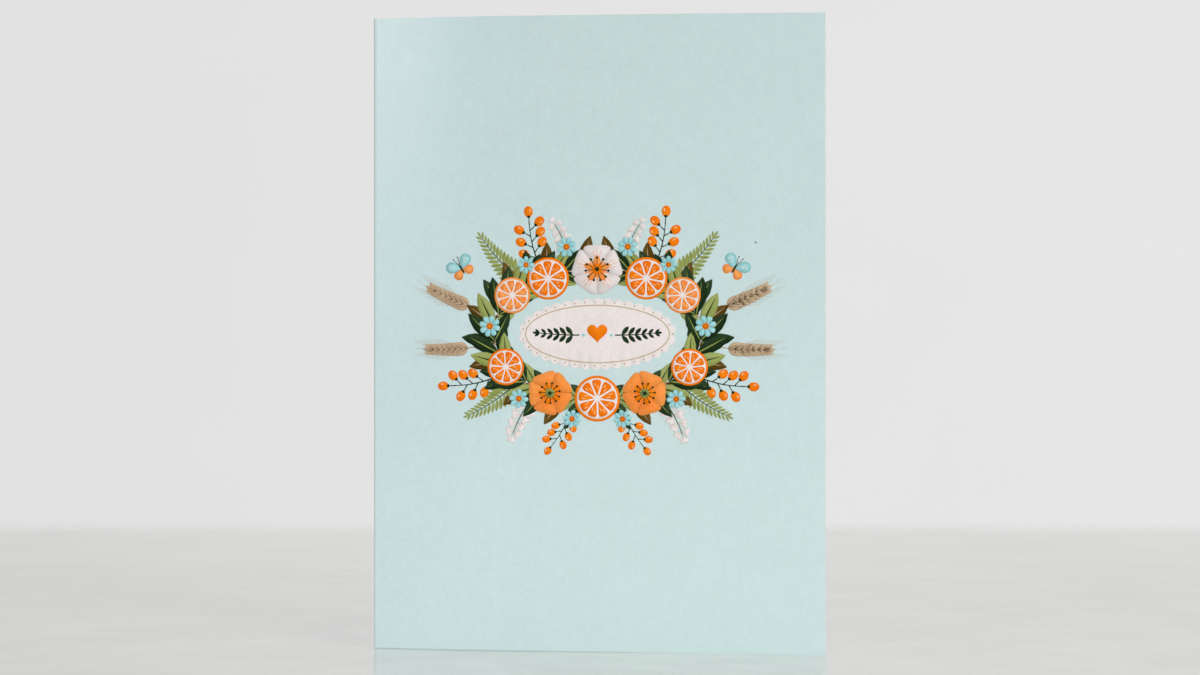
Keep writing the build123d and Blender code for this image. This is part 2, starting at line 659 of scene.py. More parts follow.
    def repeat(self, points, shape, angle=0.0, scale=1.0, selection=True):
        """Copies of a shape on points, turned and scaled, each with its own variety of the ink."""
        copies = self.geo(
            "InstanceOnPoints",
            Points=points,
            Instance=shape,
            Selection=selection,
            Rotation=self.vector(z=angle),
            Scale=self.vector(scale, scale, 1.0),
        )
        ends = {"Min": -1.0, "Max": 1.0, "Seed": VARIETY_SEED}
        variety = self.add("FunctionNodeRandomValue", data_type="FLOAT", **ends)
        return self.store(copies, "variety", variety, "FLOAT", "INSTANCE")

    def spokes(self, shape, count, radius=0.0, start=0.0):
        """Copies of a shape all round the origin, each pointing outwards."""
        line = self.geo("MeshLine", Count=count)
        angle = self.index() * (2 * pi) / count + start
        points = self.moved(line, angle.cosine() * radius, angle.sine() * radius)
        return self.repeat(points, shape, angle)

    def on_tip(self, shape, length, bend, scale=1.0):
        """The shape at the end of a bowed line."""
        heading = self.math("ARCTANGENT", bend * 2.0)
        return self.shifted(shape, length, length * bend, heading, scale)

    def beside(self, shape, count, length, bend, angle, first, last, shrink=0.0, closing=0.0):
        """Copies of a shape along a bowed line, turned off it by an angle.

        First and last are the shares of the line where they begin and end. Shrink is how much
        smaller the last one is, and closing how much nearer it turns to the line.
        """
        row = self.geo("MeshLine", Count=count)
        share = self.index() / (count - 1)
        place = first + share * (last - first)
        row = self.moved(row, place * length, place * place * length * bend)
        heading = self.math("ARCTANGENT", place * bend * 2.0) + (1.0 - share * closing) * angle
        return self.repeat(row, shape, heading, 1.0 - share * shrink)

    def pairs(self, shape, count, length, bend, angle, first, last, shrink, closing=0.0):
        """Copies of a shape in pairs along a bowed line, and one on its tip."""
        left, right = (
            self.beside(shape, count, length, bend, turned, first, last, shrink, closing)
            for turned in (angle, angle * -1.0)
        )
        return self.join(left, right, self.on_tip(shape, length, bend, 1.0 - shrink))

    def mirrored(self, art):
        """Art with its mirror image on the other side of the vertical middle line."""
        art = self.geo("RealizeInstances", Geometry=art)
        twin = self.geo("Transform", Geometry=art, Scale=(-1, 1, 1))
        return self.join(art, self.geo("FlipFaces", Mesh=twin))

    def placed(self, shape, kind):
        """The shape at each of Places and mirrored, or only once where the place is in the middle.

        Kind takes only the places of that kind, unless it is None.
        """
        angle, scale, kinds = (self.stored(name) for name in ("angle", "scale", "kind"))
        chosen = 1.0
        if kind is not None:
            chosen = self.add("FunctionNodeCompare", A=kinds, B=kind, operation="EQUAL")
        aside = self.math("GREATER_THAN", self.x(), 0.1 * MM)
        places = self.given["Places"]
        middle = self.repeat(places, shape, angle, scale, (1.0 - aside) * chosen)
        sides = self.repeat(places, shape, angle, scale, aside * chosen)
        return self.join(middle, self.mirrored(sides))

    def lay(self, art, ink):
        """Prints flat art on the front panel in an ink."""
        art = self.geo("RealizeInstances", Geometry=art)
        name, sizes = "Lay on the front panel", bpy.context.scene.card_sizes
        laid = self.group(shared_group(name, laying_group, sizes), Art=art)
        self.layers.append(self.geo("SetMaterial", Geometry=laid, Material=self.given[ink]))

    def scatter(self, shape, ink, kind=None):
        """Prints a shape at each of Places, or at those of a kind."""
        self.lay(self.placed(shape, kind), ink)

    def close(self):
        return close_tree(self, Geometry=self.join(*self.layers))


def add_object(name, data):
    """An object with that data, in the scene."""
    added = bpy.data.objects.new(name, data)
    bpy.context.scene.collection.objects.link(added)
    return added


def piece_from_tree(name, tree, materials, places=()):
    """An object that runs a tree with its materials.

    Places are the rows (x, y, angle, scale, kind) of where a motif goes on the right half, in
    millimetres and degrees.
    """
    mesh = bpy.data.meshes.new(name)
    mesh.from_pydata([(x * MM, y * MM, 0) for x, y, *_ in places], [], [])
    for label, column in zip(("angle", "scale", "kind"), list(zip(*places))[2:]):
        values = [radians(value) if label == "angle" else float(value) for value in column]
        mesh.attributes.new(label, "FLOAT", "POINT").data.foreach_set("value", values)
    piece = add_object(name, mesh)
    modifier = piece.modifiers.new(tree.name, "NODES")
    modifier.node_group = tree
    for item in tree.interface.items_tree:
        if item.name in materials and item.in_out == "INPUT":
            modifier[item.identifier] = materials[item.name]
    return piece


def hand_over(piece):
    """Swaps a piece's modifiers for the plain mesh that they make, and puts it on its body."""
    evaluated = piece.evaluated_get(bpy.context.evaluated_depsgraph_get())
    made = bpy.data.meshes.new_from_object(evaluated)
    drawn = piece.data
    piece.modifiers.clear()
    piece.data = made
    bpy.data.meshes.remove(drawn)
    made.name = piece.name
    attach(piece, BODY)


def open_material(name):
    """Makes a material, and gives it and its nodes."""
    material = bpy.data.materials.new(name)
    material.use_nodes = True
    material.node_tree.nodes.clear()
    return material, Nodes(material.node_tree)


def scaled(colour, *factors):
    """A colour with its light scaled, by one factor or by one for each of its three parts."""
    factors = factors if len(factors) > 1 else factors * 3
    return [min(part * factor, 1.0) for part, factor in zip(colour, factors)] + [1.0]


def powered(colour, exponent):
    """A stronger colour for an exponent over 1, or a fainter one for an exponent under it."""
    return [part**exponent for part in colour] + [1.0]


def mottling(nodes, size, detail=2.0, stretch=(1, 1, 1)):
    """Noise from -1 to 1 whose patches have about that size."""
    place = nodes.place()
    if stretch != (1, 1, 1):
        place = nodes.shader("Mapping", Vector=place, Scale=stretch)
    return nodes.shader("TexNoise", Vector=place, Scale=1 / size, Detail=detail) * 2.0 - 1.0


def mottled(nodes, colour, mottle):
    """A colour that varies a little in clouds, patches and flecks."""
    clouds, patches, flecks = 17 * MM, 2.6 * MM, 0.8 * MM
    share = 0.5 + mottling(nodes, clouds, 1.0) * 0.4
    share = share + mottling(nodes, patches) * 0.6 + mottling(nodes, flecks, 3.0) * 0.9
    return nodes.mix(share, scaled(colour, 1 - mottle), scaled(colour, 1 + mottle))


def coated(nodes, shade, roughness, specular, grain, lift):
    """Ends a material of coated board. Grain and lift are its unevenness's size and height."""
    streaks = mottling(nodes, 2.5 * MM, 3.0, stretch=(1, 1, 0.12))
    relief = mottling(nodes, grain, 3.0)
    shader = nodes.shader(
        "BsdfPrincipled",
        Base_Color=shade,
        Roughness=roughness + streaks * 0.05,
        Specular_IOR_Level=specular,
        Normal=nodes.shader("Bump", Height=relief, Distance=lift),
    )
    nodes.shader("OutputMaterial", Surface=shader)


def board_material(name, colour, mottle, **finish):
    """Board without print."""
    material, nodes = open_material(name)
    coated(nodes, mottled(nodes, colour, mottle), specular=0.4, **finish)
    return material


def ground_material(colour):
    """The printed ground of the outside: bluer and greener by turns, with painted shade along the
    score and the foot.
    """
    material, nodes = open_material("Printed ground")
    shade = mottled(nodes, colour, 0.035)

    # Patches of a bluer and of a greener cast
    cast = mottling(nodes, 2.8 * MM, 3.0)
    shade = nodes.mix(cast * 0.5, shade, scaled(colour, 0.95, 0.98, 1.05))
    shade = nodes.mix(cast * -0.5, shade, scaled(colour, 1.02, 1.02, 0.94))
    x, _, z = nodes.split(nodes.place())

    # Painted cooler light by the spine: it loses a little of its blue over a stretch away from the
    # spine
    first, stretch, less_blue = -34 * MM, 24 * MM, [1.0, 1.0, 0.983, 1.0]
    shade = nodes.mix((x - first) / stretch, shade, less_blue, "MULTIPLY")

    # Painted shade along the score, about twice as wide at the head, with a soft edge
    width, widening, softness = 0.5 * MM, 1 / 400, 0.4 * MM
    score = (cad_low.x + width + z * widening - x) / softness
    shade = nodes.mix(score, shade, scaled(colour, 0.85))

    # Painted shade along the foot, a contact shadow that fades with the distance from the score
    height, softness, fade = 0.38 * MM, 0.2 * MM, 45 * MM
    foot = nodes.math("MINIMUM", (height - z) / softness, 0.6 - x / fade)
    shade = nodes.mix(foot, shade, scaled(colour, 0.74))
    coated(nodes, shade, roughness=0.22, specular=0.5, grain=0.6 * MM, lift=0.004 * MM)
    return material


def ink(name):
    """The material of an ink, made when it is first used. It follows a film's tone and variety."""
    label = name + " ink"
    if label in bpy.data.materials:
        return bpy.data.materials[label]
    colour = getattr(bpy.context.scene.card_colours, name.lower())
    material, nodes = open_material(label)
    tone = nodes.attribute("tone") + nodes.attribute("variety") * 0.12
    shade = mottled(nodes, colour, 0.05)
    shade = nodes.mix(tone, shade, powered(colour, 0.6))
    shade = nodes.mix(tone * -1.0, shade, powered(colour, 2.0))
    coated(nodes, shade, roughness=0.3, specular=0.05, grain=0.5 * MM, lift=0.004 * MM)
    return material


class CARD_OT_sheet(bpy.types.Operator):
    """Folds a flat blank into the card and gives it its print, its bare inside and its cut edge"""

    bl_idname = "greeting_card.sheet"
    bl_label = "Folded Sheet"

    def execute(self, context):
        card, colours = context.scene.card_sizes, context.scene.card_colours
        smooth = {"mottle": 0.015, "roughness": 0.5, "grain": 0.5 * MM, "lift": 0.006 * MM}
        rough = {"mottle": 0.06, "roughness": 0.85, "grain": 0.12 * MM, "lift": 0.02 * MM}
        materials = {
            "Outside": ground_material(colours.outside),
            "Inside": board_material("Bare coated board", colours.inside, **smooth),
            "Core": board_material("Cut edge", colours.core, **rough),
        }
        sheet = piece_from_tree("card_sheet", sheet_tree(card), materials)
        bevel = sheet.modifiers.new("Rounded edges", "BEVEL")
        bevel.width = card.edge_rounding
        bevel.segments = 2
        bevel.limit_method = "ANGLE"
        bevel.angle_limit = radians(60)
        bevel.harden_normals = False
        sheet.modifiers.new("Flat faces", "WEIGHTED_NORMAL").keep_sharp = True
        hand_over(sheet)
        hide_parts(CARD_NODE)
        return {"FINISHED"}


def print_motif(name, make_tree, places=()):
    """Makes a motif as a piece that lies on the card, in the inks that its tree asks for."""
    tree = make_tree(bpy.context.scene.print_sizes)
    items = tree.interface.items_tree
    labels = [item.name for item in items if item.socket_type == "NodeSocketMaterial"]
    hand_over(piece_from_tree(name, tree, {label: ink(label) for label in labels}, places))
    return {"FINISHED"}


def vine_tree(sizes):
    """Tree: a brown and a tan vine that wind about the garland's line."""
    inputs = {
        "Garland width": sizes.garland_width,
        "Garland height": sizes.garland_height,
        "Waves": 22,
        "Wave height": 0.75 * MM,
        "Brown width": 0.75 * MM,
        "Tan width": 0.4 * MM,
    }
    art = Print("Winding vines", inputs, ("Brown", "Tan"))
    width, height, waves, rise, brown, tan = art.sizes
    for name, breadth, phase, level in (("Brown", brown, 0.0, 1), ("Tan", tan, pi, 2)):
        ring, angle = art.around(264)
        wave = (angle * waves + phase).sine() * rise
        x, y = angle.cosine() * (width / 2 + wave), angle.sine() * (height / 2 + wave)
        art.lay(art.film(art.ribbon(art.moved(ring, x, y), breadth), level), name)
    return art.close()


class CARD_OT_vines(bpy.types.Operator):
    """Prints a brown and a tan vine that wind about the garland's line"""

    bl_idname = "greeting_card.vines"
    bl_label = "Winding Vines"

    def execute(self, context):
        return print_motif("print_vines", vine_tree)


def garland_points(art, count, first, last):
    """Evenly spaced points up the right half of the garland, their share and the line's angle.

    First and last are the shares of the way from the foot to the top.
    """
    steps = 63
    angle = art.index() * (pi / steps) - pi / 2
    width, height = art.given["Garland width"], art.given["Garland height"]
    x, y = angle.cosine() * width / 2, angle.sine() * height / 2
    line = art.moved(art.straight(steps + 1), x, y)
    line = art.geo("TrimCurve", Curve=line, Start=first, End=last)
    points = art.geo("CurveToPoints", Curve=line, Count=count)
    x, y, _ = art.split(points.also("Tangent"))
    return points, art.index() / (count - 1), art.math("ARCTAN2", y, x)


def leaf_tree(sizes):
    """Tree: laurel leaves that climb both halves of the garland in pairs, over wider-set ones."""
    inputs = {
        "Garland width": sizes.garland_width,
        "Garland height": sizes.garland_height,
        "Leaf length": sizes.leaf_length,
        "Leaf width": sizes.leaf_width,
        "Pairs": 20,
        "Splay": Turn(radians(36)),
        "Wide-set leaves": 14,
        "Wide splay": Turn(radians(68)),
    }
    art = Print("Laurel leaves", inputs, ("Forest", "Olive", "Brown", "Tan"))
    _, _, length, width, count, splay, wide_count, wide_splay = art.sizes
    tone = art.x() / length * 0.25

    def laurel(level):
        """The two halves of a leaf, and its midrib."""
        light = art.film(art.leaf(length, width, half=1), level, tone + 0.12)
        dark = art.film(art.leaf(length, width, half=-1), level, tone - 0.1)
        rib = art.leaf(length * 0.88, width * 0.1, base=0.0)
        return art.join(light, dark), art.film(rib, level + 1)

    # Every other wide-set leaf is brown
    odd = art.math("FLOORED_MODULO", art.index(), 2.0)
    points, _, heading = garland_points(art, wide_count, first=0.06, last=0.94)
    for kept, names in ((1.0 - odd, ("Forest", "Olive")), (odd, ("Brown", "Tan"))):
        for shape, name in zip(laurel(LEAF_LEVEL), names):
            leaves = art.repeat(points, shape, heading - wide_splay, selection=kept)
            art.lay(art.mirrored(leaves), name)

    # Every other pair overlaps its neighbours, and every third pair has the inks changed over
    points, share, heading = garland_points(art, count, first=0.03, last=0.97)
    size = 0.8 + (share * pi).sine() * 0.3
    third = art.math("COMPARE", art.math("FLOORED_MODULO", art.index(), 3.0), 1.0, 0.1)
    for level, kept in ((LEAF_LEVEL + 2, 1.0 - odd), (LEAF_LEVEL + 4, odd)):
        halves, rib = laurel(level)
        for blade, vein, changed in (("Forest", "Olive", 1.0 - third), ("Olive", "Forest", third)):
            for shape, name in ((halves, blade), (rib, vein)):
                outer = art.repeat(points, shape, heading - splay, size, kept * changed)
                inner = art.repeat(points, shape, heading + splay, size * 0.85, kept * changed)
                art.lay(art.mirrored(art.join(outer, inner)), name)
    return art.close()


class CARD_OT_leaves(bpy.types.Operator):
    """Prints laurel leaves along both halves of the garland"""

    bl_idname = "greeting_card.leaves"
    bl_label = "Laurel Leaves"

    def execute(self, context):
        return print_motif("print_leaves", leaf_tree)


def leaflet(art, length, width, level):
    """A small leaf with a light and a dark half."""
    halves = (
        art.film(art.leaf(length, width, tip=0.7, points=12, half=side), level, tone)
        for side, tone in ((1, 0.2), (-1, -0.08))
    )
    return art.join(*halves)


FRONDS = (
    (22.4, 15.9, 38, 0.95, 0),
    (24.3, -15.0, -42, 0.9, 0),
)


def frond_tree(sizes):
    """Tree: fern fronds."""
    inputs = {
        "Frond length": sizes.frond_length,
        "Leaflet length": 4.6 * MM,
        "Leaflet width": 1.4 * MM,
        "Leaflets": 11,
        "Splay": Turn(radians(58)),
    }
    art = Print("Fern fronds", inputs, ("Olive", "Forest"))
    length, reach, width, count, splay = art.sizes
    bend = 0.16
    spacing = {"first": 0.1, "last": 0.97, "shrink": 0.5, "closing": 0.4}
    blade = leaflet(art, reach, width, level=2)
    art.scatter(art.stroke(length, bend, 0.38 * MM, level=1), "Forest")
    art.scatter(art.pairs(blade, count, length, bend, splay, **spacing), "Olive")
    return art.close()


class CARD_OT_fronds(bpy.types.Operator):
    """Prints the fern fronds that stand out from the garland"""

    bl_idname = "greeting_card.fronds"
    bl_label = "Fern Fronds"

    def execute(self, context):
        return print_motif("print_fronds", frond_tree, FRONDS)


EARS = (
    (29.0, 5.6, 14, 1.0, 0),
    (29.5, -2.8, -12, 0.95, 0),
)


def wheat_tree(sizes):
    """Tree: ears of wheat with their beards."""
    inputs = {
        "Ear length": sizes.ear_length,
        "Grain length": 4.3 * MM,
        "Grain width": 2.2 * MM,
        "Grains": 7,
    }
    art = Print("Wheat ears", inputs, ("Tan", "Brown"))
    length, grain, girth, count = art.sizes
    bend, first, last, shrink = 0.12, 0.42, 0.98, 0.25
    lean, awn_lean = radians(27), radians(20)
    dark = -0.3
    awn = art.stroke(grain * 2.1, 0.05, 0.18 * MM, 2, dark, taper=0.6, points=4)
    blade = art.leaf(grain, girth, base=0.6, tip=1.2, points=12)
    blade = art.film(blade, 3, art.x() / grain * 0.4 - 0.15)
    groove = art.stroke(grain * 0.55, 0.0, 0.18 * MM, 4, taper=0.5, points=3)
    art.scatter(art.stroke(length, bend, 0.42 * MM, 1, dark), "Tan")
    parts = ((awn, awn_lean, "Tan"), (blade, lean, "Tan"), (groove, lean, "Brown"))
    for shape, angle, name in parts:
        art.scatter(art.pairs(shape, count, length, bend, angle, first, last, shrink), name)
    return art.close()


class CARD_OT_wheat(bpy.types.Operator):
    """Prints the ears of wheat at the garland's ends"""

    bl_idname = "greeting_card.wheat"
    bl_label = "Wheat Ears"

    def execute(self, context):
        return print_motif("print_wheat", wheat_tree, EARS)


KUMQUATS = (
    (16.4, 19.6, 66, 1.0, 0),
    (7.9, -22.4, -72, 0.8, 0),
    (29.0, -12.2, -22, 1.0, 0),
)


def kumquat_tree(sizes):
    """Tree: sprigs of kumquats on short stalks."""
    inputs = {
        "Stem length": sizes.sprig_length,
        "Fruit length": 3.1 * MM,
        "Fruit width": 2.5 * MM,
    }
    art = Print("Kumquat sprigs", inputs, ("Forest", "Orange", "Apricot"))
    length, fruit, girth = art.sizes
    bend, splay = 0.18, radians(52)
    skin = art.film(art.disc(fruit, girth), 3, art.x() / fruit * -0.25)
    glint = art.film(art.disc(fruit * 0.34, girth * 0.16, points=10), 4)
    crown = art.film(art.disc(fruit * 0.24, girth * 0.4, points=10), 4)
    centre = fruit * 1.2
    art.scatter(art.stroke(length, bend, 0.4 * MM, 1), "Forest")
    for shape, name in (
        (art.stroke(fruit * 0.75, 0.0, 0.34 * MM, 2), "Forest"),
        (art.shifted(skin, centre), "Orange"),
        (art.shifted(glint, centre + fruit * 0.1, girth * 0.22), "Apricot"),
        (art.shifted(crown, centre - fruit * 0.46), "Forest"),
    ):
        left = art.beside(shape, 3, length, bend, splay, first=0.3, last=0.86)
        right = art.beside(shape, 3, length, bend, -splay, first=0.16, last=0.72)
        art.scatter(art.join(left, right, art.on_tip(shape, length, bend)), name)
    return art.close()


class CARD_OT_kumquats(bpy.types.Operator):
    """Prints the sprigs of kumquats"""

    bl_idname = "greeting_card.kumquats"
    bl_label = "Kumquat Sprigs"

    def execute(self, context):
        return print_motif("print_kumquats", kumquat_tree, KUMQUATS)


HEARTS = (
    (8.4, 22.4, 78, 0.8, 0),
    (18.7, -18.7, -50, 0.95, 0),
)


def heart_tree(sizes):
    """Tree: sprigs of cream heart-shaped leaves."""
    inputs = {"Stem length": sizes.sprig_length, "Heart size": 3.1 * MM}
    art = Print("Heart sprigs", inputs, ("Brown", "Cream", "Tan"))
    length, size = art.sizes
    bend, splay = -0.2, radians(58)
    heart = art.film(art.heart(size), 3, art.x() / size * 0.3 - 0.15)
    vein = art.stroke(size * 0.6, 0.0, 0.2 * MM, 4, taper=0.6, points=4)
    art.scatter(art.stroke(length, bend, 0.4 * MM, 1), "Brown")
    for shape, name in ((heart, "Cream"), (vein, "Tan")):
        shape = art.shifted(shape, 0.3 * MM)
        hearts = art.pairs(shape, 4, length, bend, splay, first=0.2, last=0.9, shrink=0.25)
        art.scatter(hearts, name)
    return art.close()


class CARD_OT_hearts(bpy.types.Operator):
    """Prints the sprigs of heart-shaped leaves"""

    bl_idname = "greeting_card.hearts"
    bl_label = "Heart Sprigs"

    def execute(self, context):
        return print_motif("print_hearts", heart_tree, HEARTS)


SLICES = (
    (0.0, -18.0, 12, 1.14, 0),
    (13.8, 15.5, 8, 1.05, 0),
    (25.8, -9.2, 25, 0.92, 0),
    (23.9, 10.8, 3, 0.9, 1),
)


def slice_tree(sizes):
    """Tree: orange and peach slices with their rind, pith, segments and drops of juice."""
    inputs = {
        "Radius": sizes.slice_radius,
        "Rind": 0.6 * MM,
        "Pith": 0.36 * MM,
        "Gap": 0.42 * MM,
    }
    art = Print("Citrus slices", inputs, ("Orange", "Peach", "Apricot", "Cream"))
    radius, rind, pith, gap = art.sizes
    segments = 9
    half_turn = pi / segments
    outer = radius - rind - pith

    # A segment is a rounded square that is bent into a wedge, its sides half a gap from the spokes
    corners, corner = art.around(28)
    along, across = (
        wave.sign() * wave.unsigned() ** 0.5 for wave in (corner.cosine(), corner.sine())
    )
    start = gap / (2 * half_turn)
    reach = start + (outer - start) * (along + 1.0) / 2
    spread = across * (half_turn - gap / (reach * 2))
    wedge = art.filled(art.moved(corners, reach * spread.cosine(), reach * spread.sine()))
    segment = art.film(wedge, SLICE_LEVEL + 2, art.x() / outer * -0.2 + 0.05)
    juice = art.leaf(outer * 0.26, outer * 0.06, tip=0.3, points=8)
    juice = art.film(juice, SLICE_LEVEL + 3, -0.1)
    spots = ((0.6, 0.09), (0.46, -0.06))
    drops = art.join(*(art.shifted(juice, outer * x, outer * y) for x, y in spots))
    for kind, name in enumerate(("Orange", "Peach")):
        for shape, shape_ink in (
            (art.dot(radius * 2, SLICE_LEVEL, 48, tone=-0.08, detail=2), name),
            (art.dot((radius - rind) * 2, SLICE_LEVEL + 1, 48, detail=2), "Cream"),
            (art.spokes(segment, segments), name),
            (art.spokes(drops, segments), "Apricot"),
        ):
            art.scatter(shape, shape_ink, kind)
    return art.close()


class CARD_OT_slices(bpy.types.Operator):
    """Prints the orange and peach slices"""

    bl_idname = "greeting_card.slices"
    bl_label = "Citrus Slices"

    def execute(self, context):
        return print_motif("print_slices", slice_tree, SLICES)


DAISIES = (
    (8.6, 24.3, 20, 1.05, 0),
    (20.0, 19.3, 0, 0.9, 0),
    (7.1, -23.7, 10, 0.95, 0),
    (22.1, -18.1, 5, 1.0, 0),
    (30.3, 2.2, 15, 1.12, 0),
)


def daisy_tree(sizes):
    """Tree: small aqua daisies."""
    inputs = {"Radius": sizes.daisy_radius, "Petals": 8, "Seeds": 6}
    art = Print("Daisies", inputs, ("Aqua", "Orange", "Brown"))
    radius, petals, seeds = art.sizes
    petal = art.leaf(radius, radius * 0.52, base=2.2, tip=0.1)
    petal = art.film(petal, FLOWER_LEVEL, art.x() / radius * 0.5 - 0.3)
    eye = art.dot(radius * 0.62, FLOWER_LEVEL + 1, points=18)
    seed = art.dot(radius * 0.13, FLOWER_LEVEL + 2, points=6)
    art.scatter(art.spokes(petal, petals), "Aqua")
    art.scatter(eye, "Orange")
    art.scatter(art.spokes(seed, seeds, radius * 0.19), "Brown")
    return art.close()


class CARD_OT_daisies(bpy.types.Operator):
    """Prints the small aqua daisies"""

    bl_idname = "greeting_card.daisies"
    bl_label = "Daisies"

    def execute(self, context):
        return print_motif("print_daisies", daisy_tree, DAISIES)


BLOSSOMS = (
    (0.0, 18.1, 90, 1.12, 0),
    (13.3, -16.5, 70, 0.98, 1),
)


def blossom_tree(sizes):
    """Tree: cream and peach blossoms of five petals over five deeper ones, with their stamens."""
    inputs = {
        "Radius": sizes.blossom_radius,
        "Petals": 5,
        "Stamens": 11,
    }
    art = Print("Blossoms", inputs, ("Cream", "Peach", "Orange", "Olive", "Forest"))
    radius, petals, stamens = art.sizes
    tone = art.x() / radius * 0.4 - 0.3
    petal_level, mark_level, eye_level, top_level = (FLOWER_LEVEL + step for step in (1, 2, 3, 4))
    petal = art.film(art.petal(radius, radius * 0.92), petal_level, tone)
    sepal = art.film(art.leaf(radius * 0.8, radius * 0.34, base=0.6), FLOWER_LEVEL, -0.1)
    blush = art.film(art.leaf(radius * 0.55, radius * 0.3, base=0.9), mark_level, 0.1)
    veins = []
    for angle, reach in ((0.0, 0.84), (0.2, 0.74), (-0.2, 0.74)):
        vein = art.stroke(radius * reach, 0.0, 0.2 * MM, mark_level, taper=0.6, points=6)
        veins.append(art.shifted(vein, angle=angle))
    eye = art.dot(radius * 0.42, eye_level, points=24)
    thread = art.stroke(radius * 0.42, 0.0, 0.18 * MM, eye_level, taper=0.0, points=3)
    anther = art.shifted(art.dot(radius * 0.1, top_level, points=8), radius * 0.44)
    pistil = art.dot(radius * 0.17, top_level, points=14)
    sepals, petals_all = art.spokes(sepal, petals, start=pi / petals), art.spokes(petal, petals)
    marks = art.join(art.spokes(blush, petals), art.spokes(art.join(*veins), petals))
    threads = art.spokes(art.join(thread, anther), stamens)
    inks = (("Cream", "Peach", "Orange"), ("Peach", "Orange", "Olive"))
    for kind, (main, second, middle) in enumerate(inks):
        for shape, name in (
            (sepals, second),
            (petals_all, main),
            (marks, second),
            (threads, "Forest"),
            (eye, middle),
            (pistil, "Forest"),
        ):
            art.scatter(shape, name, kind)
    return art.close()


class CARD_OT_blossoms(bpy.types.Operator):
    """Prints the cream and peach blossoms"""

    bl_idname = "greeting_card.blossoms"
    bl_label = "Blossoms"

    def execute(self, context):
        return print_motif("print_blossoms", blossom_tree, BLOSSOMS)


BUTTERFLIES = ((38.3, 18.2, -32, 1.0, 0),)


def butterfly_tree(sizes):
    """Tree: butterflies with spotted wings."""
    inputs = {"Wing span": sizes.wing_span}
    art = Print("Butterflies", inputs, ("Aqua", "Peach", "Cream", "Forest"))
    (span,) = art.sizes
    up, down, feeler_turn = radians(38), radians(-34), radians(58)
    lower, patch, upper, field = (
        art.film(art.leaf(span * reach, span * breadth, base, tip, points), level, tone)
        for reach, breadth, base, tip, points, level, tone in (
            (0.38, 0.3, 1.0, 0.0, 20, 1, -0.15),
            (0.3, 0.2, 1.0, 0.0, 18, 2, 0.3),
            (0.52, 0.36, 1.1, 0.1, 22, 3, -0.4),
            (0.45, 0.28, 1.1, 0.1, 20, 4, 0.1),
        )
    )
    spot = art.dot(span * 0.05, 5, points=10)
    places = ((0.36, 0.05), (0.36, -0.05), (0.25, 0.0))
    spots = art.join(*(art.shifted(spot, span * x, span * y) for x, y in places))
    for wing, angle, name in (
        (art.join(lower, art.shifted(patch, span * 0.03)), down, "Peach"),
        (art.join(upper, art.shifted(field, span * 0.035)), up, "Aqua"),
        (spots, up, "Cream"),
    ):
        art.scatter(art.mirrored(art.shifted(wing, angle=angle)), name)
    feeler = art.stroke(span * 0.24, 0.25, 0.2 * MM, 6, taper=0.4, points=8)
    feeler = art.shifted(feeler, y=span * 0.15, angle=feeler_turn)
    knob = art.shifted(art.dot(span * 0.04, 6, points=8), span * 0.075, span * 0.395)
    body = art.film(art.disc(span * 0.06, span * 0.36, points=16), 6)
    art.scatter(art.join(body, art.mirrored(art.join(feeler, knob))), "Forest")
    return art.close()


class CARD_OT_butterflies(bpy.types.Operator):
    """Prints the two butterflies"""

    bl_idname = "greeting_card.butterflies"
    bl_label = "Butterflies"

    def execute(self, context):
        return print_motif("print_butterflies", butterfly_tree, BUTTERFLIES)


def plaque_tree(sizes):
    """Tree: a scalloped plaque with a lined and beaded border, two sprays and a heart."""
    inputs = {
        "Width": sizes.plaque_width,
        "Height": sizes.plaque_height,
        "Scallops": 34,
        "Scallop height": 0.75 * MM,
        "Bead": 0.5 * MM,
    }
    art = Print("Scalloped plaque", inputs, ("Cream", "Tan", "Forest", "Orange", "Aqua"))
    width, height, scallops, rise, bead = art.sizes
    steps = 6
    line = art.ring(width, height, 200)
    line = art.geo("ResampleCurve", Curve=line, Count=scallops * steps + 1)
    x, y, _ = art.split(art.geo("InputTangent"))
    bulge = (art.index() * (pi / steps)).sine().unsigned() * rise
    outwards = art.vector(y * bulge, x * bulge * -1.0)
    edge = art.geo("SetPosition", Geometry=line, Offset=outwards)
    art.lay(art.film(art.filled(edge), 1, detail=2), "Cream")

    inset = 2.6 * MM
    border = art.ribbon(art.ring(width - inset, height - inset, 120), 0.3 * MM)
    art.lay(art.film(border, 2), "Tan")
    inset = 0.8 * MM
    line = art.ring(width - inset, height - inset, 200)
    beads = art.geo("CurveToPoints", Curve=line, Count=scallops + 1)
    unclosed = art.math("LESS_THAN", art.index(), scallops - 0.5)
    art.lay(art.repeat(beads, art.dot(bead, 2, points=8), selection=unclosed), "Tan")

    length, bend, splay, down = 11.5 * MM, 0.05, radians(50), -0.3 * MM
    spacing = {"first": 0.16, "last": 0.97, "shrink": 0.45, "closing": 0.3}
    blade = leaflet(art, 3.1 * MM, 1.3 * MM, level=3)
    blades = art.pairs(blade, 6, length, bend, splay, **spacing)
    spray = art.join(art.stroke(length, bend, 0.38 * MM, level=2), blades)
    art.lay(art.mirrored(art.shifted(spray, 5.0 * MM, down)), "Forest")
    size = 5.2 * MM
    heart = art.film(art.heart(size, points=36), 3, art.x() / size * 0.2 - 0.1)
    art.lay(art.shifted(heart, 0.0, size * -0.5, pi / 2), "Orange")
    dot = art.dot(0.9 * MM, 3, points=12)
    art.lay(art.mirrored(art.shifted(dot, 3.9 * MM, down)), "Aqua")
    return art.close()


class CARD_OT_plaque(bpy.types.Operator):
    """Prints the plaque in the middle of the garland"""

    bl_idname = "greeting_card.plaque"
    bl_label = "Scalloped Plaque"

    def execute(self, context):
        return print_motif("print_plaque", plaque_tree)


SPECK = ((44.2, 25.4, -12, 1, 0),)


